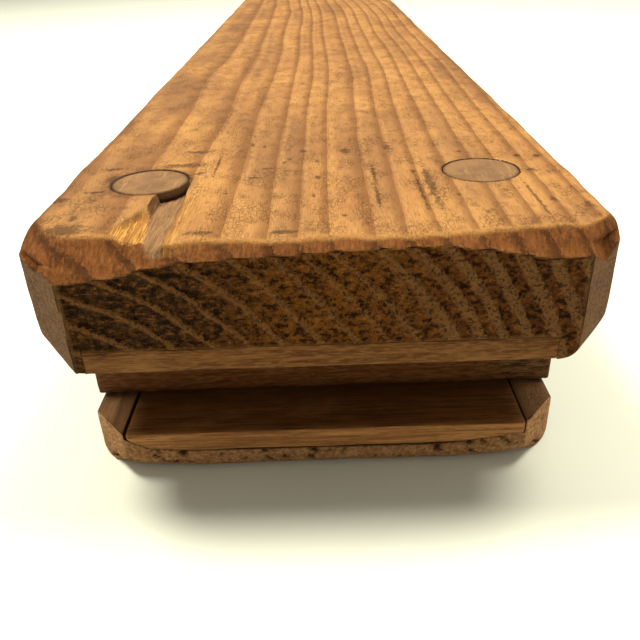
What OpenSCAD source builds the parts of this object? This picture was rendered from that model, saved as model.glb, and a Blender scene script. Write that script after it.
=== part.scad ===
// Two-part wooden cigar mould: a thick top half and a thin bottom half, each a
// plank with a shallow channel along it. Cross-grained blocks with half-round
// cells stand in both channels and meet half way up the gap between the planks.
// Units are millimetres. X runs across, Y runs lengthwise, Z is up, and the
// origin is at the middle of the underside of the closed mould.

/* [Overall] */
// Length of the top half
top_len = 560; // [540:5:580]
// Width of the top half
top_w = 120; // [116:1:126]
// Height of the closed mould
total_h = 65; // [63:0.5:67]
// Length of the bottom half
bottom_len = 537.6; // [520:0.2:540]
// Width of the bottom half
bottom_w = 114.8; // [110:0.2:116]

/* [Planks and channels] */
// Level of the parting line, where the top half stands on the bottom half
parting_z = 12.7; // [12:0.1:13.5]
// Depth of the channel in the bottom plank
bottom_channel_d = 5.7; // [4.5:0.1:6.5]
// Width of the channel in the bottom plank
bottom_channel_w = 96.2; // [90:0.2:100]
// Depth of the channel in the top plank
top_channel_d = 5.4; // [4.5:0.1:6.5]
// Width of the channel in the top plank
top_channel_w = 97; // [90:0.2:101]
// Height of the gap between the two planks
gap_h = 25; // [24:0.5:26]
// Width of the bevel on the left corners of the top plank
top_bevel_left = 9.5; // [6:0.5:11]
// Width of the bevel on the right corners of the top plank
top_bevel_right = 7.5; // [5:0.5:11]
// Width of the bevel on the corners of the bottom plank
bottom_bevel_x = 9.3; // [6:0.1:11]
// Length of the bevel on the corners of the bottom plank
bottom_bevel_y = 11; // [8:0.5:13]
// Chamfer along the upper edges of the top plank
top_chamfer = 1.6; // [0.5:0.1:3]
// Chamfer along the lower edges of the bottom plank
bottom_chamfer = 3.3; // [1:0.1:4]

/* [Cells] */
// Spacing of the cells along the mould
cell_pitch = 22.5; // [21.5:0.1:22.6]
// Diameter of a cell, which is the diameter of the rolled cigar
cell_d = 17; // [15:0.25:17.5]
// Length of the wooden cell blocks, across the mould
cell_len = 115.2; // [112:0.2:116]
// Wood left beyond the rounded head end of a cell
cell_head_wall = 4; // [3:0.5:6]
// Thickness of the cup wall at the parting plane of a lower cell
cup_wall = 1.4; // [1.2:0.1:1.6]
// Depth of the groove between two cups
cup_groove_d = 5; // [3:0.5:6]
// Gap between a rib of the upper cells and the cups it goes between
rib_gap = 0.2; // [0.15:0.05:0.4]
// Glue gap between one block and the next
block_gap = 0.06; // [0.04:0.02:0.1]

/* [End blocks and dowels] */
// Distance from the end of the top plank to the face of the end block
neck_set = 27.5; // [24:0.5:30]
// Width of an end block
neck_w = 116.6; // [114:0.2:118]
// Diameter of a dowel
dowel_d = 17.8; // [16:0.1:19]
// Distance of the dowels from the middle of the mould
dowel_x = 39; // [35:0.5:41]
// Distance of the dowels from the end of the top plank
dowel_set = 40.3; // [40:0.1:42]
// Wood left under the blind dowel holes
dowel_floor = 2.2; // [1.6:0.1:3]
// Radial play of a dowel in its hole in the bottom half
dowel_play = 0.2; // [0.1:0.05:0.4]

/* [Hidden] */
$fn = 96;
e = 0.5;                                   // overshoot of cutting tools
cells = 20;
flange_z = parting_z + gap_h;              // underside of the top plank's rails
top_joint_z = flange_z + top_channel_d;    // roof of the top channel
bottom_joint_z = parting_z - bottom_channel_d;
mid_z = parting_z + gap_h / 2;             // where upper and lower cells meet
cell_zone = cells * cell_pitch;
pad_len_top = (top_len - cell_zone) / 2;
pad_len_bottom = (bottom_len - cell_zone) / 2;
block_y = pad_len_top - neck_set;          // thickness of an end block
cup_half = cell_d / 2 + cup_wall;
rib_half = cell_pitch / 2 - cup_half - rib_gap;
plank_wood = "Peru";
inlay_wood = "SaddleBrown";
block_wood = "Sienna";
dowel_wood = "RosyBrown";

// Outline of a plank seen from above, with the four corners cut off
module plan(len, w, bl, br, by) {
  polygon([
    [-w / 2, -len / 2 + by], [-w / 2 + bl, -len / 2], [w / 2 - br, -len / 2], [w / 2, -len / 2 + by],
    [w / 2, len / 2 - by], [w / 2 - br, len / 2], [-w / 2 + bl, len / 2], [-w / 2, len / 2 - by]
  ]);
}

// A straight cutter along X or Y that takes a 45 degree chamfer of size c off an edge
module edge_cut(len, c, along_x = true) {
  rotate([0, 0, along_x ? 0 : 90])
    rotate([45, 0, 0])
      cube([len, c * sqrt(2), c * sqrt(2)], center = true);
}

// The four vertical dowel positions; each child is drawn at one or all of them
module at_dowel(sx, sy) {
  translate([sx * dowel_x, sy * (top_len / 2 - dowel_set), 0]) children();
}
module dowel_holes(r, z0, z1) {
  for (sx = [-1, 1], sy = [-1, 1]) at_dowel(sx, sy)
    translate([0, 0, z0]) cylinder(r = r, h = z1 - z0);
}

// Thick plank of the top half, with its lengthwise channel underneath
module top_plank() color(plank_wood) {
  difference() {
    translate([0, 0, flange_z])
      linear_extrude(height = total_h - flange_z)
        plan(top_len, top_w, top_bevel_left, top_bevel_right, 9.5);
    translate([-top_channel_w / 2, -top_len / 2 - e, flange_z - e])
      cube([top_channel_w, top_len + 2 * e, top_channel_d + e]);
    for (s = [-1, 1]) {
      translate([0, s * top_len / 2, total_h]) edge_cut(top_w + 10, top_chamfer);
      translate([s * top_w / 2, 0, total_h]) edge_cut(top_len + 10, top_chamfer * 0.7, false);
      translate([s * top_w / 2, 0, flange_z]) edge_cut(top_len + 10, top_chamfer, false);
    }
    dowel_holes(dowel_d / 2 + 0.05, top_joint_z - e, total_h + e);
  }
}

// Thin plank of the bottom half, with its lengthwise channel on top
module bottom_plank() color(plank_wood) {
  difference() {
    linear_extrude(height = parting_z)
      plan(bottom_len, bottom_w, bottom_bevel_x, bottom_bevel_x, bottom_bevel_y);
    translate([-bottom_channel_w / 2, -bottom_len / 2 - e, bottom_joint_z])
      cube([bottom_channel_w, bottom_len + 2 * e, bottom_channel_d + e]);
    for (s = [-1, 1]) {
      translate([0, s * bottom_len / 2, 0]) edge_cut(bottom_w + 10, bottom_chamfer);
      translate([s * bottom_w / 2, 0, 0]) edge_cut(bottom_len + 10, bottom_chamfer, false);
    }
    dowel_holes(dowel_d / 2 + dowel_play, dowel_floor, parting_z + e);
  }
}

// Cross-grained pad let into one end of the top channel, side -1 front or 1 rear
module top_end_pad(side) color(inlay_wood) {
  difference() {
    intersection() {
      translate([-top_channel_w / 2 + 0.05, side < 0 ? -top_len / 2 : top_len / 2 - pad_len_top, flange_z])
        cube([top_channel_w - 0.1, pad_len_top, top_channel_d]);
      translate([0, 0, flange_z - e])
        linear_extrude(height = top_channel_d + 2 * e)
          plan(top_len, top_w, top_bevel_left, top_bevel_right, 9.5);
    }
    dowel_holes(dowel_d / 2 + 0.05, flange_z - e, top_joint_z + e);
  }
}

// Cross-grained pad let into one end of the bottom channel
module bottom_end_pad(side) color(inlay_wood) {
  difference() {
    translate([-bottom_channel_w / 2 + 0.5, side < 0 ? -bottom_len / 2 : bottom_len / 2 - pad_len_bottom, bottom_joint_z])
      cube([bottom_channel_w - 0.55, pad_len_bottom, bottom_channel_d]);
    dowel_holes(dowel_d / 2 + dowel_play, bottom_joint_z - e, parting_z + e);
  }
}

// Full-width block between the halves at one end; it lifts off with the top half
module end_block(side) color(block_wood) {
  difference() {
    translate([-neck_w / 2, side < 0 ? -top_len / 2 + neck_set : top_len / 2 - pad_len_top, parting_z])
      cube([neck_w, block_y, gap_h]);
    for (s = [-1, 1])
      translate([s * neck_w / 2, 0, parting_z]) edge_cut(top_len, 1, false);
    dowel_holes(dowel_d / 2 + 0.05, parting_z - e, flange_z + e);
  }
}

// Dowel glued through the top half; its lower end goes into the bottom half
module dowel(sx, sy) color(dowel_wood) {
  at_dowel(sx, sy) translate([0, 0, dowel_floor + 0.5])
    rotate_extrude()
      polygon([
        [0, 0], [dowel_d / 2 - 1.5, 0], [dowel_d / 2, 1.5],
        [dowel_d / 2, total_h - dowel_floor - 0.5], [0, total_h - dowel_floor - 0.5]
      ]);
}

// The cigar-shaped space of one cell, lying along X: rounded head at -X, open foot at +X
module cigar_space() {
  r = cell_d / 2;
  head = -cell_len / 2 + cell_head_wall;
  translate([0, 0, mid_z]) rotate([0, 90, 0])
    rotate_extrude()
      polygon([
        [0, head], [r * 0.30, head + 0.4], [r * 0.58, head + 2], [r * 0.80, head + 5],
        [r * 0.93, head + 9.5], [r * 0.985, head + 15], [r, head + 22],
        [r, cell_len / 2 - 30], [r * 0.965, cell_len / 2 + 3], [0, cell_len / 2 + 3]
      ]);
}

function cell_y(i) = -cell_zone / 2 + (i - 0.5) * cell_pitch;

// Lower cell block: a tongue in the channel, a full-width body and a narrower cup on it
module bottom_cell(i) color(inlay_wood) {
  w = cell_pitch - block_gap;
  translate([0, cell_y(i), 0]) difference() {
    union() {
      translate([-bottom_channel_w / 2 + 0.05, -w / 2, bottom_joint_z])
        cube([bottom_channel_w - 0.1, w, bottom_channel_d + 1]);
      translate([-cell_len / 2, -w / 2, parting_z])
        cube([cell_len, w, mid_z - cup_groove_d - parting_z]);
      translate([-cell_len / 2, -cup_half, parting_z])
        cube([cell_len, 2 * cup_half, mid_z - 0.05 - parting_z]);
    }
    cigar_space();
  }
}

// Upper cell block: the same space, with a rib on each side that goes between the cups
module top_cell(i) color(inlay_wood) {
  w = cell_pitch - block_gap;
  rib_z = mid_z - cup_groove_d + 0.6;
  translate([0, cell_y(i), 0]) difference() {
    union() {
      translate([-top_channel_w / 2 + 0.05, -w / 2, flange_z - 1])
        cube([top_channel_w - 0.1, w, top_channel_d + 1]);
      translate([-cell_len / 2, -w / 2, mid_z + 0.05])
        cube([cell_len, w, flange_z - mid_z - 0.05]);
      for (s = [-1, 1])
        translate([-cell_len / 2, s < 0 ? -w / 2 : w / 2 - rib_half + block_gap / 2, rib_z])
          cube([cell_len, rib_half - block_gap / 2, flange_z - rib_z]);
    }
    cigar_space();
  }
}

top_plank();
bottom_plank();
top_end_pad(-1);  // top_end_pad_front
top_end_pad(1);  // top_end_pad_rear
bottom_end_pad(-1);  // bottom_end_pad_front
bottom_end_pad(1);  // bottom_end_pad_rear
end_block(-1);  // end_block_front
end_block(1);  // end_block_rear
dowel(-1, -1);  // dowel_front_left
dowel(1, -1);  // dowel_front_right
dowel(-1, 1);  // dowel_rear_left
dowel(1, 1);  // dowel_rear_right
bottom_cell(1);  // bottom_cell_01
bottom_cell(2);  // bottom_cell_02
bottom_cell(3);  // bottom_cell_03
bottom_cell(4);  // bottom_cell_04
bottom_cell(5);  // bottom_cell_05
bottom_cell(6);  // bottom_cell_06
bottom_cell(7);  // bottom_cell_07
bottom_cell(8);  // bottom_cell_08
bottom_cell(9);  // bottom_cell_09
bottom_cell(10);  // bottom_cell_10
bottom_cell(11);  // bottom_cell_11
bottom_cell(12);  // bottom_cell_12
bottom_cell(13);  // bottom_cell_13
bottom_cell(14);  // bottom_cell_14
bottom_cell(15);  // bottom_cell_15
bottom_cell(16);  // bottom_cell_16
bottom_cell(17);  // bottom_cell_17
bottom_cell(18);  // bottom_cell_18
bottom_cell(19);  // bottom_cell_19
bottom_cell(20);  // bottom_cell_20
top_cell(1);  // top_cell_01
top_cell(2);  // top_cell_02
top_cell(3);  // top_cell_03
top_cell(4);  // top_cell_04
top_cell(5);  // top_cell_05
top_cell(6);  // top_cell_06
top_cell(7);  // top_cell_07
top_cell(8);  // top_cell_08
top_cell(9);  // top_cell_09
top_cell(10);  // top_cell_10
top_cell(11);  // top_cell_11
top_cell(12);  // top_cell_12
top_cell(13);  // top_cell_13
top_cell(14);  // top_cell_14
top_cell(15);  // top_cell_15
top_cell(16);  // top_cell_16
top_cell(17);  // top_cell_17
top_cell(18);  // top_cell_18
top_cell(19);  // top_cell_19
top_cell(20);  // top_cell_20
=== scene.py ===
import math

import bmesh
import bpy
import numpy as np
from mathutils import Matrix, Vector


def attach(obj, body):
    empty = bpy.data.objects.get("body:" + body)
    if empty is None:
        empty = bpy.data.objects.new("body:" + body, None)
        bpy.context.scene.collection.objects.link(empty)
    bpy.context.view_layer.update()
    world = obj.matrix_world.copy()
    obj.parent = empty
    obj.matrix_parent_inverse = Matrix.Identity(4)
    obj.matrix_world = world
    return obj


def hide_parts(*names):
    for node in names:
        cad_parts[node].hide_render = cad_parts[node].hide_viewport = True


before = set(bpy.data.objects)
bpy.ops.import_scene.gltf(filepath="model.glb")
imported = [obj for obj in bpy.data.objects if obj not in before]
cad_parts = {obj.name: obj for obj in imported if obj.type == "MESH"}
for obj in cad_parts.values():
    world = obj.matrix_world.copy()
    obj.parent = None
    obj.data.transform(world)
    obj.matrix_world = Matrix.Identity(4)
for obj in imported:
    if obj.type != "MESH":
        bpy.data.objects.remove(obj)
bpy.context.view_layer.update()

# All modelling numbers are millimetres in the CAD frame: X across, Y along
# (front end at -280), Z up from the underside. Meshes are scaled to metres.
MM = 0.001
FRONT = -280.0


# ---------------------------------------------------------------- noise
def hash01(ix, iy, iz, seed):
    h = (ix.astype(np.uint32) * np.uint32(374761393)
         + iy.astype(np.uint32) * np.uint32(668265263)
         + iz.astype(np.uint32) * np.uint32(2147483647)
         + np.uint32(seed * 7919 + 17))
    h = (h ^ (h >> np.uint32(13))) * np.uint32(1274126177)
    h = (h ^ (h >> np.uint32(15))) * np.uint32(2246822519)
    h = h ^ (h >> np.uint32(16))
    return (h & np.uint32(0xFFFFFF)).astype(np.float64) / 0xFFFFFF


def vnoise(P, scale, seed):
    """Value noise, -1 to 1, with its own feature size on each axis."""
    Q = P / np.asarray(scale, float)
    I = np.floor(Q).astype(np.int64)
    F = Q - I
    F = F * F * (3 - 2 * F)
    out = 0
    for dx in (0, 1):
        for dy in (0, 1):
            for dz in (0, 1):
                w = ((F[:, 0] if dx else 1 - F[:, 0])
                     * (F[:, 1] if dy else 1 - F[:, 1])
                     * (F[:, 2] if dz else 1 - F[:, 2]))
                out = out + w * hash01(I[:, 0] + dx, I[:, 1] + dy, I[:, 2] + dz, seed)
    return out * 2 - 1


def fbm(P, scale, seed, octaves=3):
    s = np.asarray(scale, float)
    out, amp, tot = 0, 1.0, 0.0
    for k in range(octaves):
        out = out + amp * vnoise(P, s, seed + 31 * k)
        tot += amp
        amp *= 0.55
        s = s * 0.5
    return out / tot


def sm(a, b, x):
    t = np.clip((x - a) / (b - a), 0, 1)
    return t * t * (3 - 2 * t)


def softplus(g, k):
    return k * np.logaddexp(0, g / k)


# ---------------------------------------------------------------- meshes
def lines(*spans):
    out = []
    for a, b, step in spans:
        n = max(1, int(round((b - a) / step)))
        out += list(np.linspace(a, b, n + 1)[:-1])
    out.append(spans[-1][1])
    return np.array(out)


def shell(xs, ys, zs):
    """Quads on the six sides of a box grid, all sides sharing their edge vertices."""
    nx, ny, nz = len(xs), len(ys), len(zs)
    m = np.zeros((nx, ny, nz), bool)
    m[0] = m[-1] = True
    m[:, 0] = m[:, -1] = True
    m[:, :, 0] = m[:, :, -1] = True
    idx = np.full((nx, ny, nz), -1, np.int64)
    idx[m] = np.arange(m.sum())
    I = np.argwhere(m)
    P = np.stack([xs[I[:, 0]], ys[I[:, 1]], zs[I[:, 2]]], 1)
    S = np.zeros((len(P), 3))
    S[:, 0] = (I[:, 0] == nx - 1) * 1.0 - (I[:, 0] == 0)
    S[:, 1] = (I[:, 1] == ny - 1) * 1.0 - (I[:, 1] == 0)
    S[:, 2] = (I[:, 2] == nz - 1) * 1.0 - (I[:, 2] == 0)

    def quads(g, flip):
        q = np.stack([g[:-1, :-1], g[1:, :-1], g[1:, 1:], g[:-1, 1:]], -1).reshape(-1, 4)
        return q[:, ::-1] if flip else q
    F = np.concatenate([
        quads(idx[:, :, -1], False), quads(idx[:, :, 0], True),
        quads(idx[:, 0, :], False), quads(idx[:, -1, :], True),
        quads(idx[-1], False), quads(idx[0], True)])
    return P, S, F


def normals(P, F):
    n = np.cross(P[F[:, 2]] - P[F[:, 0]], P[F[:, 3]] - P[F[:, 1]])
    out = np.zeros_like(P)
    for k in range(4):
        for a in range(3):
            out[:, a] += np.bincount(F[:, k], n[:, a], len(P))
    return out / np.maximum(np.linalg.norm(out, axis=1, keepdims=True), 1e-12)


def make(name, P, F, attrs, mat, body, node, sharp=48, dissolve=0.0):
    me = bpy.data.meshes.new(name)
    me.from_pydata((P * MM).tolist(), [], F.tolist())
    for k, v in attrs.items():
        a = me.attributes.new(k, "FLOAT", "POINT")
        a.data.foreach_set("value", np.asarray(v, np.float32))
    me.polygons.foreach_set("use_smooth", [True] * len(me.polygons))
    me.set_sharp_from_angle(angle=math.radians(sharp))
    me.materials.append(mat)
    me.validate()
    ob = bpy.data.objects.new(name, me)
    bpy.context.scene.collection.objects.link(ob)
    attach(ob, body)
    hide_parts(node)
    return ob


# ---------------------------------------------------------------- growth rings
RADII = np.array([0, 6, 12, 18, 24, 30, 36, 41.5, 47.4, 53.3, 59.2, 65.0, 70.3, 75.7,
                  81.6, 87.8, 94.0, 99.4, 104.7, 111.7, 116.2, 120.3, 125.2, 130.6,
                  135.4, 141, 146, 152, 158, 170, 185, 200])
PITH = (-72.5, -3.9)


def ring_of(P):
    """Growth ring number at a point of the top plank; whole numbers are the dark late edges."""
    x, v, z = P[:, 0], P[:, 1] - FRONT, P[:, 2]
    w = sm(20, 200, v)
    px = PITH[0] + w * 3.0 * np.sin(v / 140)
    r = np.hypot(x - px, z - PITH[1])
    t = np.maximum(0, 1 - ((x - 10) / 26) ** 2)
    r = r + 2.8 * t * t * np.clip((z - 43.1) / 21.4, 0, 1)
    wob = 0.45 * vnoise(P, (9, 60, 9), 5) + 0.25 * vnoise(P, (3.2, 30, 3.2), 6)
    wob = wob + 1.8 * vnoise(P, (60, 120, 60), 7) * w
    return np.interp(r + wob, RADII, np.arange(len(RADII)))


def ring_plain(P, pith, pitch, seed):
    r = np.hypot(P[:, 0] - pith[0], P[:, 2] - pith[1])
    return (r + 0.5 * vnoise(P, (9, 70, 9), seed) + 1.5 * vnoise(P, (50, 110, 50), seed + 1)) / pitch + 40


# ---------------------------------------------------------------- top plank
def top_plank(mat):
    xs = lines((-60, -42.5, .7), (-42.5, -26, .42), (-26, 60, .72))
    xs = np.sort(np.concatenate([xs, [-48.55, -48.45, 48.45, 48.55]]))
    vs = lines((0, 10, .5), (10, 52, .8), (52, 84, 1.6), (84, 500, 9), (500, 560, 2.2))
    zs = lines((37.7, 43.1, .6), (43.1, 65, .62))
    P, S, F = shell(xs, vs + FRONT, zs)
    x0, v0, z0 = P[:, 0].copy(), P[:, 1] - FRONT, P[:, 2].copy()
    chan = np.abs(x0) < 48.5
    # the channel that takes the pads and cells
    P[:, 2] = np.where(chan, 43.1 + (z0 - 37.7) * (65 - 43.1) / (65 - 37.7), z0)
    z = P[:, 2]
    rear = v0 > 280
    # sides lean in a little below the widest line
    side = -0.25 * np.abs(z - 52) / 14 - 0.5 * sm(48, 37.7, z)
    P[:, 0] += np.sign(x0) * side * sm(35, 60, np.abs(x0)) * np.where(x0 < 0, 1.0, 0.6)

    bev = np.zeros(len(P))
    for sx, ex, dv in ((-1, 9.6, 9.5), (1, 7.6, 7.3)):
        for sy in (-1, 1):
            n = np.array([sx * dv, sy * ex, 0.0])
            n /= np.linalg.norm(n)
            p = np.array([sx * (60 - ex), sy * 280.0, 0.0])
            wav = 0.25 * fbm(P, (30, 30, 9), 91 + sx + 3 * sy, 2)
            g = P @ n - p @ n + wav
            P -= softplus(g, 0.16)[:, None] * n
            bev = np.maximum(bev, sm(-0.5, 0.3, g))
    # front top chamfer between a wavy lower line on the end and a wavy line on the top
    zf = np.interp(x0, [-60, -55.4, -49.8, -40.3, -32.8, -25.1, -15.9, 5.2, 23.1, 33.2, 41.1, 46.8, 52, 60],
                   [61.5, 62.0, 59.2, 59.9, 61.7, 63.0, 63.3, 64.1, 64.4, 63.2, 61.6, 61.0, 61.0, 61.5])
    yt = np.interp(x0, [-60, -53.1, -42.2, -34, -28.1, -18.2, -6.9, 2.9, 12.4, 25.5, 37.4, 49, 55, 60],
                   [9, 7.9, 7.9, 5.6, 3.6, 3.7, 1.7, 3.7, 1.8, 2.5, 4.3, 5.2, 4.0, 4.0])
    zf = zf - 0.5
    yt = yt + 0.6
    vv = P[:, 1] - FRONT
    lean = np.where(x0 < -50.4, (-50.4 - x0), np.where(x0 > 52.4, x0 - 52.4, 0))
    a, b = 65 - zf, yt                           # drop on the end, run on the top
    L = np.hypot(a, b)
    g = ((P[:, 2] - zf) * b + (-(vv - lean)) * a) / L
    ring = ring_of(P)
    ph = ring - np.floor(ring)
    g = g + 0.28 * np.sin(np.pi * ph) * sm(30, 0, vv) + 0.12 * fbm(P, (2.5, 2.5, 2.5), 12, 2)
    g = np.where(rear, -9, g)
    nf = np.stack([np.zeros_like(a), -a / L, b / L], 1)
    P -= softplus(g, 0.13)[:, None] * nf
    facet = sm(-0.25, 0.25, g)
    # rear chamfer, plainer
    vr = 560 - (P[:, 1] - FRONT)
    gr = ((P[:, 2] - 62.2) * 3.4 - vr * 2.8) / math.hypot(3.4, 2.8) + 0.2 * fbm(P, (5, 5, 5), 14, 2)
    nr = np.array([0, 2.8, 3.4]) / math.hypot(3.4, 2.8)
    P -= softplus(np.where(rear, gr, -9), 0.15)[:, None] * nr
    facet = np.maximum(facet, sm(-0.25, 0.25, np.where(rear, gr, -9)))
    # lower corners of the bevels, worn round
    for sx in (-1, 1):
        for sy in (-1, 1):
            n = np.array([sx * .62, sy * .22, -.76])
            n /= np.linalg.norm(n)
            p = np.array([sx * 50.6, sy * 280.0, 37.7])
            gg = np.where(chan, -9.0, P @ n - p @ n + .35 * fbm(P, (6, 6, 6), 96, 2))
            P -= softplus(gg, .5)[:, None] * n
    # rounded long arrises, top and lower
    for sx in (-1, 1):
        for top, c in ((1, 1.5), (-1, 0.6)):
            n = np.array([sx, 0, top]) / math.sqrt(2)
            p = np.array([sx * 59.9, 0, 65.0 if top > 0 else 37.7])
            nick = 0.5 * fbm(P, (30, 11, 30), 40 + sx + top, 3)
            gg = P @ n - p @ n + (c + nick) / math.sqrt(2)
            P -= softplus(gg, 0.3)[:, None] * n
    vv = P[:, 1] - FRONT
    # torn-out strip beside the left dowel
    xl = np.interp(vv, [-1.5, 4, 8, 25], [-29.6, -32.8, -34.5, -35.8])
    xl = xl + 0.35 * fbm(P, (2, 3, 9), 51, 2)
    xr = -29.3 + 0.12 * fbm(P, (3, 5, 9), 52, 2)
    inside = sm(-0.1, 0.45, P[:, 0] - xl) * sm(-0.05, 0.22, xr - P[:, 0]) * sm(43.5, 40, vv)
    floor = 62.6 + (31 - vv) * 0.032 + 0.16 * fbm(P, (.7, 9, 5), 53, 2)
    deep = inside * (S[:, 2] > 0) * np.maximum(0, P[:, 2] - floor)
    # torn wedge sloping down to it
    vlow = np.interp(P[:, 0], [-41.6, -37.6, -33.6], [10.4, 5.9, 5.6]) + .5 * fbm(P, (1.2, 3, 5), 57, 2)
    xlow = -41.6 + (vv - 10.4) * .404 + .3 * fbm(P, (2, 2, 5), 58, 2)
    wedge = sm(-.2, .9, P[:, 0] - xlow) * sm(-.2, .7, vv - vlow) * sm(23, 20, vv) * (P[:, 0] < xl + .3)
    deep = np.maximum(deep, wedge * (S[:, 2] > 0) * (.45 + .2 * (P[:, 0] + 41.6) + 0.4 * fbm(P, (.7, 5, 5), 54, 2)))
    slope = sm(-23, -29.3, P[:, 0]) * (P[:, 0] > xr) * sm(1, 3, vv) * sm(33, 27, vv)
    deep = np.maximum(deep, slope * (S[:, 2] > 0) * 0.7)
    P[:, 2] -= deep
    # dowel ends: the plank sinks just round and under them
    for dx in (-39, 39):
        for dv in (40.3, 519.7):
            rr = np.hypot(P[:, 0] - dx, vv - dv)
            P[:, 2] -= (S[:, 2] > 0) * 0.8 * sm(8.9, 8.0, rr)
    # surface relief
    N = normals(P, F)
    ring = ring_of(P)
    ph = ring - np.floor(ring)
    end = np.abs(N[:, 1]) * (1 - facet) * ((S[:, 1] != 0) | (np.abs(N[:, 1]) > .8)) * (1 - 0.85 * bev)
    right = sm(8, 34, P[:, 0])
    late = sm(0.70, 0.80, ph) * sm(1.0, 0.96, ph) * (1 - right) + right * sm(0.46, 0.55, ph) * sm(1.0, .96, ph)
    rough = sm(0.5, 0.9, end)
    relief = -(1 - late) * 0.5 - 0.22 * np.abs(fbm(P, (.8, .8, .8), 60, 2)) * (1 - 0.6 * late)
    move = rough * relief - 0.05 * (1 - rough) * np.abs(fbm(P, (1.5, 14, 1.5), 61, 2))
    hid = chan & (S[:, 2] < 0)
    move = np.where(hid, 0, move)
    P += N * move[:, None]
    P[:, 2] = np.clip(P[:, 2], 37.7, 65)
    P[:, 2] = np.where(hid, 43.1, P[:, 2])
    P[:, 0] = np.clip(P[:, 0], -60, 60)
    P[:, 1] = np.clip(P[:, 1], -280, 280)
    torn = np.clip(inside + 0.0, 0, 1) * (S[:, 2] > 0) * (vv < 43)
    fresh = wedge * (S[:, 2] > 0) + 0.55 * slope * (S[:, 2] > 0)
    arris = np.exp(-((g - 0.25) / 0.42) ** 2) * sm(.45, .8, (P[:, 2] - zf) / (65 - zf)) * sm(-59, -50, P[:, 0])
    arris = np.where(rear, np.exp(-((gr - .1) / .4) ** 2), arris)
    at = dict(ring=ring_of(P), end=rough, facet=facet, torn=torn, fresh=np.clip(fresh, 0, 1),
              arris=arris, bev=bev)
    return make("look_top_plank", P, F, at, mat, "top_half", "top_plank")


# ---------------------------------------------------------------- bottom plank
def bottom_plank(mat):
    xs = lines((-57.4, 57.4, .85))
    xs = np.sort(np.concatenate([xs, [-48.15, -48.05, 48.05, 48.15]]))
    vs = lines((11.2, 16, .6), (16, 60, 1.1), (60, 500, 9), (500, 548.8, 2.4))
    zs = lines((0, 7, .7), (7, 12.7, .7))
    P, S, F = shell(xs, vs + FRONT, zs)
    x0, v0, z0 = P[:, 0].copy(), P[:, 1] - FRONT, P[:, 2].copy()
    chan = np.abs(x0) < 48.1
    up = sm(30, 11, v0) * np.interp(x0, [-48, -42, -32, 26, 33.6, 46], [4.2, 1.3, .3, 0, .5, 2.4])
    top = np.where(chan, 7.0 + up, 12.7)
    P[:, 2] = z0 / 12.7 * top
    for sx in (-1, 1):
        for sy in (-1, 1):
            n = np.array([sx * 11.0, sy * 9.3, 0.0])
            n /= np.linalg.norm(n)
            p = np.array([sx * 48.1, sy * 268.8, 0.0])
            gg = P @ n - p @ n + 0.15 * fbm(P, (20, 20, 8), 71 + sx, 2)
            P -= softplus(gg, 0.2)[:, None] * n
    for n, p, c in (((0, -1, -1), (0, -268.8, 0), 3.3), ((0, 1, -1), (0, 268.8, 0), 3.3),
                    ((-1, 0, -1), (-57.4, 0, 0), 1.0), ((1, 0, -1), (57.4, 0, 0), 1.0),
                    ((-1, 0, 1), (-57.4, 0, 12.7), 1.2), ((1, 0, 1), (57.4, 0, 12.7), 1.2)):
        n = np.array(n, float) / math.sqrt(2)
        cc = c + 0.35 * fbm(P, (12, 16, 12), 75, 2) + (np.abs(x0) / 48) ** 6 * 1.6 * (c > 3)
        gg = P @ n - np.array(p) @ n + cc / math.sqrt(2)
        P -= softplus(gg, 0.22)[:, None] * n
    N = normals(P, F)
    end = sm(0.45, 0.85, np.abs(N[:, 1]))
    hid = chan & (S[:, 2] > 0)
    pits = sm(0.35, 0.7, vnoise(P @ np.array([[.8, 0, .6], [0, 1, 0], [-.6, 0, .8]]), (2.6, 4, .8), 78)) * end
    mv = -(0.5 * pits + 0.12 * np.abs(fbm(P, (.9, .9, .9), 79, 2)) * end) - 0.05 * np.abs(fbm(P, (1.5, 14, 1.5), 80, 2))
    P += N * np.where(hid, 0, mv)[:, None]
    P[:, 2] = np.clip(P[:, 2], 0, 12.7)
    at = dict(ring=ring_plain(P, (20, 90), 4.6, 82), end=end * .6, facet=end * 0, torn=pits,
              fresh=end * 0, arris=end * 0, bev=end * 0 + .5)
    return make("look_bottom_plank", P, F, at, mat, "bottom_half", "bottom_plank")


# ---------------------------------------------------------------- plain blocks with worn edges
def block(name, lo, hi, r, step, seed, mat, body, node, bump=0.06, shape=None, lip=None):
    xs, ys, zs = (lines((lo[k], hi[k], step[k])) for k in range(3))
    P, S, F = shell(xs, ys, zs)
    c = (np.array(lo) + hi) / 2
    h = (np.array(hi) - lo) / 2
    if shape is not None:
        shape(P)
    for a, b in ((0, 1), (0, 2), (1, 2)):
        for sa in (-1, 1):
            for sb in (-1, 1):
                n = np.zeros(3)
                n[a], n[b] = sa, sb
                n /= math.sqrt(2)
                p = c + np.sign(n) * h
                rr = r * (1 + 0.5 * fbm(P, (9, 9, 9), seed, 2))
                gg = P @ n - p @ n + rr / math.sqrt(2)
                P -= softplus(gg, r * .25)[:, None] * n
    N = normals(P, F)
    mv = -bump * np.abs(fbm(P, (9, 1.2, 1.2), seed + 4, 2))
    if lip is not None:
        mv = mv - lip(P, N)
    P += N * mv[:, None]
    for k in range(3):
        P[:, k] = np.clip(P[:, k], lo[k], hi[k])
    at = dict(edge=sm(0.9, 0.6, np.max(np.abs(N), axis=1)), front=np.abs(N[:, 1]), seed=np.full(len(P), (seed % 17) / 17.0))
    return make(name, P, F, at, mat, body, node)


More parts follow.
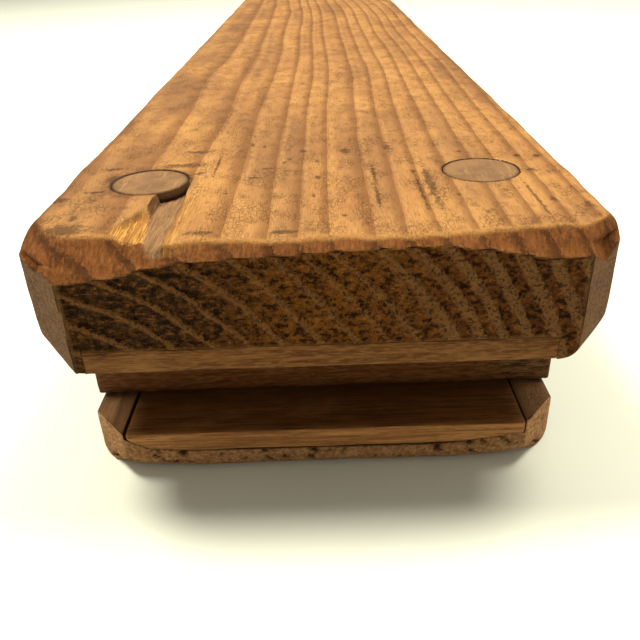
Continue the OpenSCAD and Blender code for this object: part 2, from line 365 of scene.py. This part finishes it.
def dowel(name, x, y, mat, body, node, seed, r=8.9, z0=2.7, z1=65.0, chamfer=1.5):
    """Turned dowel with a slightly domed, weathered end."""
    na = 96
    prof = [(0.0, z0), (r * .5, z0), (r - chamfer, z0), (r - chamfer * .5, z0 + chamfer * .5), (r, z0 + chamfer)]
    prof += [(r, z) for z in np.linspace(z0 + chamfer + 3, z1 - 2, 14)]
    prof += [(r, z1 - .45), (r - .12, z1 - .16), (r - .35, z1 - .05)]
    prof += [(q, z1 - .02) for q in np.linspace(r - .8, .6, 17)]
    P, rows = [], []
    for q, z in prof:
        if q == 0:
            rows.append([len(P)] * na)
            P.append((0, 0, z))
        else:
            rows.append(list(range(len(P), len(P) + na)))
            for k in range(na):
                t = 2 * math.pi * k / na
                P.append((q * math.cos(t), q * math.sin(t), z))
    rows.append([len(P)] * na)
    P.append((0, 0, z1 - .02))
    F = []
    for i in range(len(rows) - 1):
        a, b = rows[i], rows[i + 1]
        for k in range(na):
            j = (k + 1) % na
            f = [a[k], a[j], b[j], b[k]]
            g = []
            for q in f:
                if q not in g:
                    g.append(q)
            F.append(g)
    P = np.array(P, float)
    rad = np.hypot(P[:, 0], P[:, 1])
    top = P[:, 2] > z1 - .6
    P[:, 2] -= top * 0.1 * np.abs(fbm(P, (1.6, 1.6, 4), seed, 3))
    scale = 1 - 0.006 * np.abs(fbm(P, (5, 5, 20), seed + 3, 2)) * (~top)
    P[:, 0] *= scale
    P[:, 1] *= scale
    P += np.array([x, y, 0])
    me = bpy.data.meshes.new(name)
    me.from_pydata((P * MM).tolist(), [], F)
    for k, v in dict(rim=sm(r - 1.0, r - .2, rad), top=top * 1.0, seed=np.full(len(P), seed % 11 / 11.0)).items():
        at = me.attributes.new(k, "FLOAT", "POINT")
        at.data.foreach_set("value", np.asarray(v, np.float32))
    me.polygons.foreach_set("use_smooth", [True] * len(me.polygons))
    me.set_sharp_from_angle(angle=math.radians(40))
    me.materials.append(mat)
    ob = bpy.data.objects.new(name, me)
    bpy.context.scene.collection.objects.link(ob)
    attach(ob, body)
    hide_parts(node)
    return ob


def drill(ob, x, y, r, z0, z1):
    """Cuts a round blind hole with a small mouth chamfer into a piece."""
    na = 64
    prof = [(r, z0), (r, z1 - .5), (r + .5, z1), (r + .5, z1 + 3)]
    V = [(x + q * math.cos(2 * math.pi * k / na), y + q * math.sin(2 * math.pi * k / na), z)
         for q, z in prof for k in range(na)]
    F = [list(range(na))[::-1], list(range(3 * na, 4 * na))]
    for i in range(3):
        F += [[i * na + k, i * na + (k + 1) % na, (i + 1) * na + (k + 1) % na, (i + 1) * na + k] for k in range(na)]
    me = bpy.data.meshes.new("cutter")
    me.from_pydata([tuple(c * MM for c in p) for p in V], [], F)
    cut = bpy.data.objects.new("cutter", me)
    bpy.context.scene.collection.objects.link(cut)
    m = ob.modifiers.new("hole", "BOOLEAN")
    m.operation, m.solver, m.object = "DIFFERENCE", "EXACT", cut
    dg = bpy.context.evaluated_depsgraph_get()
    new = bpy.data.meshes.new_from_object(ob.evaluated_get(dg), preserve_all_data_layers=True, depsgraph=dg)
    ob.modifiers.clear()
    ob.data = new
    bpy.data.objects.remove(cut)


# ---------------------------------------------------------------- shader shorthand
class G:
    def __init__(self, name):
        self.m = bpy.data.materials.new(name)
        self.m.use_nodes = True
        self.t = self.m.node_tree
        self.t.nodes.clear()
        self.out = self.t.nodes.new("ShaderNodeOutputMaterial")
        self.b = self.t.nodes.new("ShaderNodeBsdfPrincipled")
        self.t.links.new(self.b.outputs[0], self.out.inputs["Surface"])
        co = self.t.nodes.new("ShaderNodeTexCoord")
        s = self.t.nodes.new("ShaderNodeVectorMath")
        s.operation = "SCALE"
        s.inputs["Scale"].default_value = 1000.0
        self.t.links.new(co.outputs["Object"], s.inputs[0])
        self.p = s.outputs[0]

    def put(self, sock, v):
        if isinstance(v, bpy.types.NodeSocket):
            self.t.links.new(v, sock)
        elif isinstance(v, tuple) and len(v) == 3 and sock.type == "RGBA":
            sock.default_value = (*v, 1)
        else:
            sock.default_value = v

    def m_(self, op, a, b=0.0, clamp=False):
        n = self.t.nodes.new("ShaderNodeMath")
        n.operation, n.use_clamp = op, clamp
        self.put(n.inputs[0], a)
        self.put(n.inputs[1], b)
        return n.outputs[0]

    def mul(self, a, b): return self.m_("MULTIPLY", a, b)
    def add(self, a, b): return self.m_("ADD", a, b)
    def sub(self, a, b): return self.m_("SUBTRACT", a, b)

    def attr(self, name):
        n = self.t.nodes.new("ShaderNodeAttribute")
        n.attribute_name = name
        return n.outputs["Fac"]

    def stretch(self, sc, rot=(0, 0, 0), loc=(0, 0, 0), p=None):
        n = self.t.nodes.new("ShaderNodeMapping")
        n.inputs["Scale"].default_value = sc
        n.inputs["Rotation"].default_value = rot
        n.inputs["Location"].default_value = loc
        self.t.links.new(p or self.p, n.inputs[0])
        return n.outputs[0]

    def bend(self, f, amount):
        c = self.t.nodes.new("ShaderNodeCombineXYZ")
        for k in range(3):
            self.put(c.inputs[k], self.mul(self.sub(f, .5), amount * (1 - 1.6 * (k == 1))))
        n = self.t.nodes.new("ShaderNodeVectorMath")
        n.operation = "ADD"
        self.t.links.new(self.p, n.inputs[0])
        self.t.links.new(c.outputs[0], n.inputs[1])
        return n.outputs[0]

    def noise(self, vec, scale=1.0, detail=3.0, rough=.55, dist=0.0):
        n = self.t.nodes.new("ShaderNodeTexNoise")
        n.inputs["Scale"].default_value = scale
        n.inputs["Detail"].default_value = detail
        n.inputs["Roughness"].default_value = rough
        n.inputs["Distortion"].default_value = dist
        self.put(n.inputs["Vector"], vec)
        return n.outputs["Fac"]

    def voro(self, vec, scale=1.0, feature="DISTANCE_TO_EDGE"):
        n = self.t.nodes.new("ShaderNodeTexVoronoi")
        n.feature = feature
        n.inputs["Scale"].default_value = scale
        self.put(n.inputs["Vector"], vec)
        return n.outputs["Distance"]

    def sm(self, x, a, b, lo=0.0, hi=1.0):
        n = self.t.nodes.new("ShaderNodeMapRange")
        n.interpolation_type = "SMOOTHSTEP"
        for k, v in zip(("From Min", "From Max", "To Min", "To Max"), (a, b, lo, hi)):
            n.inputs[k].default_value = v
        self.put(n.inputs["Value"], x)
        return n.outputs["Result"]

    def mix(self, f, a, b, mode="MIX"):
        n = self.t.nodes.new("ShaderNodeMix")
        n.data_type, n.blend_type = "RGBA", mode
        self.put(n.inputs[0], f)
        self.put(n.inputs[6], a)
        self.put(n.inputs[7], b)
        return n.outputs[2]

    def spot(self, c, r, soft=.5):
        """Mask of a small ellipsoid mark: centre and radii in mm."""
        r = tuple(q * 1.45 for q in r)
        v = self.stretch(tuple(1 / q for q in r), loc=tuple(-a / q for a, q in zip(c, r)))
        w = self.noise(self.p, .9, 4, .7)
        n = self.t.nodes.new("ShaderNodeVectorMath")
        n.operation = "LENGTH"
        self.t.links.new(v, n.inputs[0])
        return self.sm(self.add(n.outputs["Value"], self.mul(self.sub(w, .5), 3.2)), 1.0, 1 - soft)

    def finish(self, col, rough, heights, spec=.3):
        self.put(self.b.inputs["Base Color"], col)
        self.put(self.b.inputs["Roughness"], rough)
        self.b.inputs["Specular IOR Level"].default_value = spec
        last = None
        for h, d in heights:
            n = self.t.nodes.new("ShaderNodeBump")
            n.inputs["Distance"].default_value = d * MM
            n.inputs["Strength"].default_value = 1.0
            self.put(n.inputs["Height"], h)
            if last is not None:
                self.t.links.new(last, n.inputs["Normal"])
            last = n.outputs[0]
        self.t.links.new(last, self.b.inputs["Normal"])
        return self.m


def marks(g):
    """Stains and dark specks on the top face, as (x, y from the front, x radius, y radius)."""
    S = [(-50.3, 51, 2.2, 1.0), (-35.7, 52.6, 1.6, 1.0), (-27.9, 45.1, 1.3, 1.0), (-50.4, 17.9, .8, 1.4),
         (-16.9, 68.6, .7, 1.6), (-13.5, 67, .6, 1.2), (-6.3, 54.4, .6, 1.0), (-7.6, 51.6, .5, .8),
         (.7, 39, .6, 1.2), (.6, 51.5, .5, .8), (-.2, 26.8, .5, 1.0), (-14.7, 40.4, 1.3, .5),
         (13.9, 40, .45, 5.5), (13.6, 24, .4, 6.0), (23.2, 40.5, .5, 1.5), (36.7, 55.6, .7, .9),
         (49.7, 19.5, .6, 1.5), (54.7, 49.7, .7, 1.2), (49.9, 50.3, .8, 1.0), (-24.3, 51, .35, 7.0),
         (23.3, 27, .35, 9.0), (46.5, 21, .35, 10.0), (55.8, 15.2, 1.0, 1.8), (-5.9, 6.5, 2.2, .9),
         (-50.3, 11.5, 4.2, 2.4), (-47.5, 43, 3.0, 3.6), (-33, 52, 4.5, 1.6), (-50.8, 34, 2.4, .7), (-22.8, 7.6, 2.6, .9),
         (-30.7, 63.6, 3.0, 1.2), (8, 60, 1.2, 3.2), (19, 62, 1.0, 4.0), (26, 33, .8, 12.0), (-12, 47, 1.0, .8),
         (-56.8, 29.6, 1.3, 1.6), (-20, 30, .5, .5), (31, 24, .5, .8), (6, 14, .5, .6), (-3, 61, .9, 1.0), (50.6, 39, 1.3, 1.3)]
    tot = None
    for x, v, rx, ry in S:
        s = g.spot((x, v + FRONT, 64.8), (rx, ry, 4.0), .6)
        tot = s if tot is None else g.m_("MAXIMUM", tot, s)
    return tot


def softwood(name, with_marks=True, dark=1.0):
    g = G(name)
    ring, end, facet = g.attr("ring"), g.attr("end"), g.attr("facet")
    torn, fresh, arris, bev = g.attr("torn"), g.attr("fresh"), g.attr("arris"), g.attr("bev")
    fine = g.noise(g.stretch((1.6, .05, 1.6)), 1.0, 5, .65)
    hair = g.noise(g.stretch((5.0, .22, 5.0)), 1.0, 4, .7)
    broad = g.noise(g.stretch((.06, .012, .06)), 1.0, 3, .6)
    cloud = g.noise(g.stretch((.045, .035, .05), loc=(3, 1, 0)), 1.0, 4, .6)
    warp = g.noise(g.stretch((1.5, .7, 1.5)), 1.0, 3, .7)
    crackle = g.voro(g.stretch((1.15, .62, 1.15), p=g.bend(warp, 1.6)), 1.0)
    crack = g.sm(crackle, .07, .0)
    gate = g.sm(g.noise(g.stretch((.18, .12, .18)), 1.0, 2), .42, .62)
    rr = g.add(ring, g.mul(g.sub(fine, .5), .16))
    ph = g.m_("FRACT", rr)
    late = g.mul(g.sm(ph, .55, .93), g.sm(ph, 1.0, .965))
    # long-grain faces
    early_c = g.mix(g.sm(cloud, .35, .68), (.43, .220, .070), (.335, .158, .054))
    early_c = g.mix(g.sm(broad, .42, .7), early_c, (.25, .122, .048))
    long_c = g.mix(g.mul(late, .68), early_c, (.165, .066, .020))
    px0 = g.t.nodes.new("ShaderNodeSeparateXYZ")
    g.t.links.new(g.p, px0.inputs[0])
    old = g.mul(g.sm(px0.outputs[0], -28, -50), g.sm(cloud, .3, .6))
    long_c = g.mix(g.mul(old, .55), long_c, (.185, .092, .042))
    tan = g.mul(g.sm(ph, .04, .10), g.sm(ph, .34, .14))
    long_c = g.mix(g.mul(tan, .35), long_c, (.46, .25, .085))
    dirt = g.sm(g.noise(g.stretch((.28, .2, .28), loc=(9, 2, 0)), 1.0, 6, .75), .52, .66)
    long_c = g.mix(g.mul(dirt, .55), long_c, (.13, .062, .026))
    long_c = g.mix(g.mul(g.sm(hair, .46, .66), .55), long_c, (.15, .066, .024))
    long_c = g.mix(g.mul(g.mul(crack, gate), .38), long_c, (.10, .042, .016))
    # Painted highlight: small pale specks on the long-grain faces stand in for specular glints.
    painted_glints = g.sm(g.noise(g.stretch((1.1, .9, 1.1)), 1.0, 1), .74, .8)
    long_c = g.mix(g.mul(painted_glints, .35), long_c, (.62, .42, .22))
    # sides and bevels: greyer, smoother, with long dark streaks
    side_c = g.mix(g.sm(fine, .4, .62), (.165, .080, .034), (.080, .037, .015))
    side_c = g.mix(g.mul(g.sm(cloud, .5, .7), .5), side_c, (.17, .095, .045))
    geo = g.t.nodes.new("ShaderNodeNewGeometry")
    sep = g.t.nodes.new("ShaderNodeSeparateXYZ")
    g.t.links.new(geo.outputs["Normal"], sep.inputs[0])
    # which faces are sides is taken from the modelled normal, not from the view
    flank = g.sm(g.m_("ABSOLUTE", sep.outputs[0]), .45, .8)
    col = g.mix(flank, long_c, side_c)
    col = g.mix(g.mul(bev, .75), col, side_c)
    # sawn end grain: thin pale late lines on the left, wide grey bands to the right
    cloud2 = g.noise(g.stretch((.35, .28, .3)), 1.0, 5, .75)
    pos = g.t.nodes.new("ShaderNodeSeparateXYZ")
    g.t.links.new(g.p, pos.inputs[0])
    px = pos.outputs[0]
    right = g.sm(px, 4, 34)
    frac = g.m_("FRACT", g.add(ring, g.mul(g.sub(g.noise(g.stretch((.7, .7, .7)), 1.0, 5, .75), .5), .55)))
    thin = g.mul(g.sm(frac, .68, .80), g.sm(frac, 1.0, .95))
    wide = g.mul(g.sm(frac, .42, .54), g.sm(frac, 1.0, .955))
    band = g.mix(right, thin, wide)
    fuzz = g.noise(g.stretch((.55, 1, 3.2), rot=(0, math.radians(38), 0)), 1.0, 5, .7)
    grit = g.noise(g.stretch((1.2, 1.2, 1.2)), 1.0, 5, .75)
    deep = g.mix(g.sm(px, -30, 0), (.062, .028, .009), (.245, .084, .011))
    deep = g.mix(right, deep, (.165, .053, .011))
    deep = g.mix(g.sm(fuzz, .48, .68), deep, (.25, .085, .018))
    ridge = g.mix(right, (.36, .145, .034), (.36, .160, .050))
    ridge = g.mix(g.sm(grit, .4, .6), ridge, (.15, .075, .03))
    end_c = g.mix(g.mul(band, g.sm(grit, .33, .48)), deep, ridge)
    pit = g.noise(g.stretch((.62, .62, .9), loc=(5, 0, 2)), 1.0, 5, .8)
    end_c = g.mix(g.sm(grit, .52, .62, 0, .85), end_c, (.034, .012, .003))
    end_c = g.mix(g.sm(g.add(pit, g.mul(g.sub(.5, band), .09)), .545, .615, 0, .92), end_c, (.010, .004, .001))
    end_c = g.mix(g.sm(pit, .44, .37, 0, .65), end_c, (.40, .165, .042))
    col = g.mix(end, col, end_c)
    # dark gap round the dowel ends, widest at the front left of the left one
    if with_marks:
        for dx, wd in ((-39.0, .9), (39.0, .35)):
            for dy in (-239.7, 239.7):
                vm = g.stretch((1, 1, 0), loc=(-dx, -dy, 0))
                ln = g.t.nodes.new("ShaderNodeVectorMath")
                ln.operation = "LENGTH"
                g.t.links.new(vm, ln.inputs[0])
                dd = g.add(ln.outputs["Value"], g.mul(g.sub(grit, .5), 1.2))
                stain = g.sm(g.add(ln.outputs["Value"], g.mul(g.sub(cloud2, .5), 9.0)), 12.5, 9.0)
                col = g.mix(g.mul(stain, .45 if dx < 0 else .12), col, (.085, .042, .020))
                col = g.mix(g.mul(g.sm(dd, 9.0 + wd, 9.0), g.sm(sep.outputs[2], .6, .9)), col, (.022, .010, .004))
    # hewn facets below the worn arris
    stripe = g.sm(frac, .62, .9)
    fac_c = g.mix(stripe, (.215, .078, .020), (.082, .029, .008))
    fib = g.noise(g.stretch((1.6, .5, .35), rot=(0, math.radians(24), 0)), 1.0, 5, .7)
    fac_c = g.mix(g.sm(fib, .46, .62, 0, .7), fac_c, (.10, .038, .012))
    fac_c = g.mix(g.sm(fib, .45, .36, 0, .5), fac_c, (.30, .13, .038))
    fac_c = g.mix(g.sm(grit, .5, .7, 0, .5), fac_c, (.13, .05, .016))
    col = g.mix(facet, col, fac_c)
    # Lighter golden colour along the rounded front and rear top arrises.
    arris_c = g.mix(g.sm(grit, .35, .7), (.50, .27, .082), (.30, .135, .040))
    col = g.mix(g.mul(arris, g.sm(grit, .3, .5)), col, arris_c)
    # torn wood
    streak = g.noise(g.stretch((3.4, .12, 1.0)), 1.0, 4, .7)
    col = g.mix(torn, col, g.mix(g.sm(streak, .4, .62), (.16, .088, .042), (.30, .165, .072)))
    col = g.mix(fresh, col, g.mix(g.sm(streak, .44, .64), (.26, .115, .028), (.60, .33, .075)))
    if not with_marks:
        # Painted light on the bottom plank: faces turned to the ends get a brighter colour to make up for the shade of
        # the overhanging top half, and all other faces are multiplied darker.
        lit_front = g.sm(g.m_("ABSOLUTE", sep.outputs[1]), .25, .6)
        lit_front_c = g.mix(g.sm(grit, .38, .6), (.58, .31, .135), (.30, .14, .055))
        lit_front_c = g.mix(g.sm(hair, .5, .7, 0, .6), lit_front_c, (.13, .055, .020))
        lit_front_c = g.mix(torn, lit_front_c, (.045, .018, .007))
        col = g.mix(lit_front, g.mix(1.0, col, (.55, .58, .68), "MULTIPLY"), lit_front_c)
    if with_marks:
        mk = marks(g)
        col = g.mix(g.mul(g.mul(mk, .72), g.sm(sep.outputs[2], .6, .9)), col, (.055, .026, .012))
    if dark != 1.0:
        col = g.mix(1.0, col, (dark, dark, dark), "MULTIPLY")
    h1 = g.add(g.mul(hair, .5), g.mul(late, .35))
    h2 = g.sub(g.mul(grit, g.add(g.mul(end, 1.0), .06)), g.mul(g.mul(crack, gate), .12))
    return g.finish(col, g.sm(hair, .2, .8, .55, .8), [(h1, .12), (h2, .9), (g.mul(fuzz, end), .6), (g.mul(fib, facet), .7), (g.mul(pit, end), 1.2)], .06)


def hardwood(name, base, dark, pale, plane=True, stain=None, gl=.08, lit_edge_c=None):
    """Cross-grained hardwood: grain runs along X."""
    g = G(name)
    seed = g.attr("seed")
    off = g.t.nodes.new("ShaderNodeCombineXYZ")
    g.put(off.inputs[0], g.mul(seed, 340.0))
    g.put(off.inputs[1], g.mul(seed, 91.0))
    sh = g.t.nodes.new("ShaderNodeVectorMath")
    sh.operation = "ADD"
    g.t.links.new(g.p, sh.inputs[0])
    g.t.links.new(off.outputs[0], sh.inputs[1])
    p = sh.outputs[0]
    grain = g.noise(g.stretch((.05, 1.1, 1.1), p=p), 1.0, 5, .65)
    pores = g.noise(g.stretch((.35, 5.0, 5.0), p=p), 1.0, 3, .6)
    cloud = g.noise(g.stretch((.05, .12, .12), p=p), 1.0, 4, .6)
    col = g.mix(g.sm(grain, .35, .66), base, dark)
    col = g.mix(g.sm(cloud, .5, .72, 0, .7), col, pale)
    col = g.mix(g.sm(pores, .56, .7, 0, .7), col, tuple(c * .35 for c in dark))
    hts = [(g.add(g.mul(grain, .4), g.mul(pores, .6)), .22)]
    if plane:
        w = g.noise(g.stretch((.34, .1, 1.5), rot=(0, math.radians(-37), 0)), 1.0, 3, .5)
        col = g.mix(g.sm(w, .47, .62, 0, .55), col, pale)
        hts.append((w, .35))
    if stain:
        s = g.spot(stain[0], stain[1], .7)
        dg = g.noise(g.stretch((.25, .3, 2.2), rot=(0, math.radians(28), 0)), 1.0, 4, .6)
        col = g.mix(g.mul(s, .8), col, g.mix(g.sm(dg, .45, .6), (.014, .007, .003), (.14, .07, .03)))
    if lit_edge_c:
        py = g.t.nodes.new("ShaderNodeSeparateXYZ")
        g.t.links.new(g.p, py.inputs[0])
        # Painted shade: the strip of the ledge next to the end block is darkened, the shade under the overhang of the
        # top half.
        neck_shade = g.sm(g.m_("ABSOLUTE", py.outputs[1]), 262, 252.5)
        col = g.mix(g.mul(neck_shade, .6), col, tuple(c * .55 for c in dark))
        # Painted light: faces turned to the ends get a brighter colour and the rounded edges a lighter one, to make up
        # for the shade of the overhang on the front band.
        lit_front = g.sm(g.attr("front"), .5, .8)
        lit_front_c = g.mix(g.sm(grain, .36, .62), (.37, .170, .055), (.20, .086, .028))
        col = g.mix(lit_front, col, g.mix(g.sm(pores, .5, .66, 0, .7), lit_front_c, (.12, .05, .018)))
        col = g.mix(g.mul(g.attr("edge"), g.sm(grain, .3, .5)), col, lit_edge_c)
    return g.finish(col, g.sm(grain, .2, .8, .5, .72), hts, gl)


def dowel_wood(name):
    g = G(name)
    rim, top = g.attr("rim"), g.attr("top")
    dots = g.noise(g.stretch((2.4, 2.4, .3)), 1.0, 4, .7)
    cl = g.noise(g.stretch((.16, .22, .1)), 1.0, 4, .6)
    ln = g.noise(g.stretch((1.3, .12, .1), rot=(0, 0, math.radians(12))), 1.0, 3, .6)
    col = g.mix(g.sm(cl, .4, .65), (.255, .142, .062), (.19, .105, .050))
    col = g.mix(g.sm(ln, .54, .7, 0, .6), col, (.36, .21, .095))
    col = g.mix(g.sm(dots, .56, .7, 0, .5), col, (.2, .1, .045))
    # Painted shade: the shaft below the end is coloured near black for the shaded side wall seen in the torn trench.
    painted_shade_shaft = g.mix(g.sm(g.noise(g.stretch((1.3, 1.3, .06)), 1.0, 4, .6), .4, .65), (.035, .018, .008), (.014, .007, .003))
    col = g.mix(top, painted_shade_shaft, col)
    col = g.mix(g.mul(g.mul(rim, top), .75), col, (.09, .045, .02))
    return g.finish(col, .62, [(dots, .25), (ln, .3)], .06)


M_TOP = softwood("plank_softwood_top")
M_BOT = softwood("plank_softwood_bottom", False, 1.0)
M_PAD = hardwood("pad_hardwood", (.165, .066, .016), (.075, .027, .006), (.215, .098, .030))
M_LEDGE = hardwood("pad_hardwood_lower", (.195, .085, .024), (.095, .038, .010), (.26, .125, .042), False,
                   lit_edge_c=(.36, .175, .065))
M_NECK = hardwood("end_block_hardwood", (.130, .044, .009), (.065, .020, .004), (.155, .070, .022),
                  stain=((50, -252, 22), (8, 6, 9)))
M_CELL = hardwood("cell_hardwood", (.22, .105, .042), (.13, .058, .022), (.30, .165, .08))
M_DOWEL = dowel_wood("dowel_hardwood")

# ---------------------------------------------------------------- the pieces
top_plank(M_TOP)
bp = bottom_plank(M_BOT)


def pad_edge(P, N):
    """Hair cracks and saw-dressed front of a pad."""
    return 0.14 * np.abs(fbm(P, (.9, 3, 3), 33, 2)) * (np.abs(N[:, 1]) > .7)


for end, sgn in (("front", -1), ("rear", 1)):
    ya, yb = sorted((sgn * 280.0, sgn * 225.0))
    block("look_top_pad_" + end, (-48.45, ya, 37.7), (48.45, yb, 43.1), .35, (.9, 1.1, .6), 5 if sgn < 0 else 6,
          M_PAD, "top_half", "top_end_pad_" + end, .1, None, pad_edge)
    ya, yb = sorted((sgn * 268.8, sgn * 225.0))

    def bow(P):
        up = sm(38, 11, 280 - np.abs(P[:, 1]))
        lift = np.interp(P[:, 0], [-48, -42, -32, 26, 33.6, 46], [4.2, 1.3, .3, 0, .5, 2.4]) * up
        t = (12.7 - P[:, 2]) / 5.7
        P[:, 2] += lift * t
    pad = block("look_bottom_pad_" + end, (-47.6, ya, 7.0), (48.05, yb, 12.7), .5, (.9, 1.0, .6), 8 if sgn < 0 else 9,
                M_LEDGE, "bottom_half", "bottom_end_pad_" + end, .08, bow)
    ya, yb = sorted((sgn * 252.5, sgn * 225.0))
    block("look_end_block_" + end, (-58.3, ya, 12.7), (58.3, yb, 37.7), 1.0, (1.0, 1.4, .8), 12 if sgn < 0 else 13,
          M_NECK, "top_half", "end_block_" + end, .12)
    for side, dx in (("left", -39.0), ("right", 39.0)):
        dowel("look_dowel_%s_%s" % (end, side), dx, sgn * 239.7, M_DOWEL, "top_half",
              "dowel_%s_%s" % (end, side), 20 + (sgn > 0) * 2 + (dx > 0))
        drill(pad, dx, sgn * 239.7, 9.1, 2.2, 12.7)
        drill(bp, dx, sgn * 239.7, 9.1, 2.2, 12.7)

for name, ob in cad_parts.items():
    if "_cell_" in name:
        ob.data.materials.clear()
        ob.data.materials.append(M_CELL)
        # the shown block: the same solid with its outer edges eased and a grain of its own
        bm = bmesh.new()
        bm.from_mesh(ob.data)
        bmesh.ops.remove_doubles(bm, verts=bm.verts, dist=1e-6)
        bmesh.ops.dissolve_limit(bm, angle_limit=math.radians(1.0), verts=bm.verts, edges=bm.edges)
        long_edges = [e for e in bm.edges if e.is_manifold and e.is_convex and e.calc_length() > .003
                      and e.calc_face_angle(0) > math.radians(60)]
        bmesh.ops.bevel(bm, geom=long_edges, offset=.00022, segments=2, profile=.5, affect="EDGES",
                        clamp_overlap=True)
        me = bpy.data.meshes.new("look_" + name)
        bm.to_mesh(me)
        bm.free()
        at = me.attributes.new("seed", "FLOAT", "POINT")
        at.data.foreach_set("value", np.full(len(me.vertices), (int(name[-2:]) * 7 % 20) / 20.0 + .02 * ("top" in name), np.float32))
        me.polygons.foreach_set("use_smooth", [True] * len(me.polygons))
        me.set_sharp_from_angle(angle=math.radians(32))
        me.materials.clear()
        me.materials.append(M_CELL)
        cell = bpy.data.objects.new("look_" + name, me)
        bpy.context.scene.collection.objects.link(cell)
        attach(cell, "top_half" if name.startswith("top") else "bottom_half")
        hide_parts(name)

# ---------------------------------------------------------------- stage, light, camera
fl = bmesh.new()
n = 24
vs = [[fl.verts.new(((i / n - .5) * 8, (j / n - .35) * 8, -0.0002)) for j in range(n + 1)] for i in range(n + 1)]
for i in range(n):
    for j in range(n):
        fl.faces.new((vs[i][j], vs[i + 1][j], vs[i + 1][j + 1], vs[i][j + 1]))
fm = bpy.data.meshes.new("floor")
fl.to_mesh(fm)
fl.free()
floor = bpy.data.objects.new("floor", fm)
bpy.context.scene.collection.objects.link(floor)
gf = G("floor_paper")
fn = gf.noise(gf.stretch((.02, .02, .02)), 1.0, 3)
fm.materials.append(gf.finish(gf.mix(fn, (.80, .85, .75), (.82, .87, .77)), .9, [(fn, .01)], .1))


def area(name, loc, target, size, power, col):
    L = bpy.data.lights.new(name, "AREA")
    L.shape, L.size, L.energy, L.color = "DISK", size, power, col
    o = bpy.data.objects.new(name, L)
    o.location = loc
    o.rotation_euler = (Vector(target) - Vector(loc)).to_track_quat("-Z", "Y").to_euler()
    bpy.context.scene.collection.objects.link(o)


area("soft_left", (-.55, -.05, 1.25), (0, -.25, 0), .42, 20.5, (1, .93, .79))
area("soft_right", (.5, -.05, 1.25), (0, -.25, 0), .5, 14, (1, .93, .79))
area("soft_back", (0, 1.0, 1.3), (0, -.1, 0), .9, 10, (1, .94, .82))
area("low_fill", (.5, -1.25, .5), (0, -.28, .05), .7, 1.5, (1, .90, .72))
scene = bpy.context.scene
world = bpy.data.worlds.new("world")
scene.world = world
world.use_nodes = True
world.node_tree.nodes["Background"].inputs[0].default_value = (1, .94, .82, 1)
world.node_tree.nodes["Background"].inputs[1].default_value = .31
scene.view_settings.view_transform = "Standard"
scene.view_settings.look = "None"

fwd = Vector((-0.01257, 0.86693, -0.49827)).normalized()
rt = Vector((math.cos(.0145), math.sin(.0145), 0))
up = rt.cross(fwd)
rho = -.042
r2 = math.cos(rho) * rt + math.sin(rho) * up
u2 = -math.sin(rho) * rt + math.cos(rho) * up
cam = bpy.data.cameras.new("camera")
cam.lens, cam.sensor_width = 38.44, 36
cam.clip_start = .005
co = bpy.data.objects.new("camera", cam)
scene.collection.objects.link(co)
R = Matrix((r2, u2, -fwd)).transposed().to_4x4()
co.matrix_world = Matrix.Translation(Vector((.002045, -.39643, .115765))) @ R
scene.camera = co
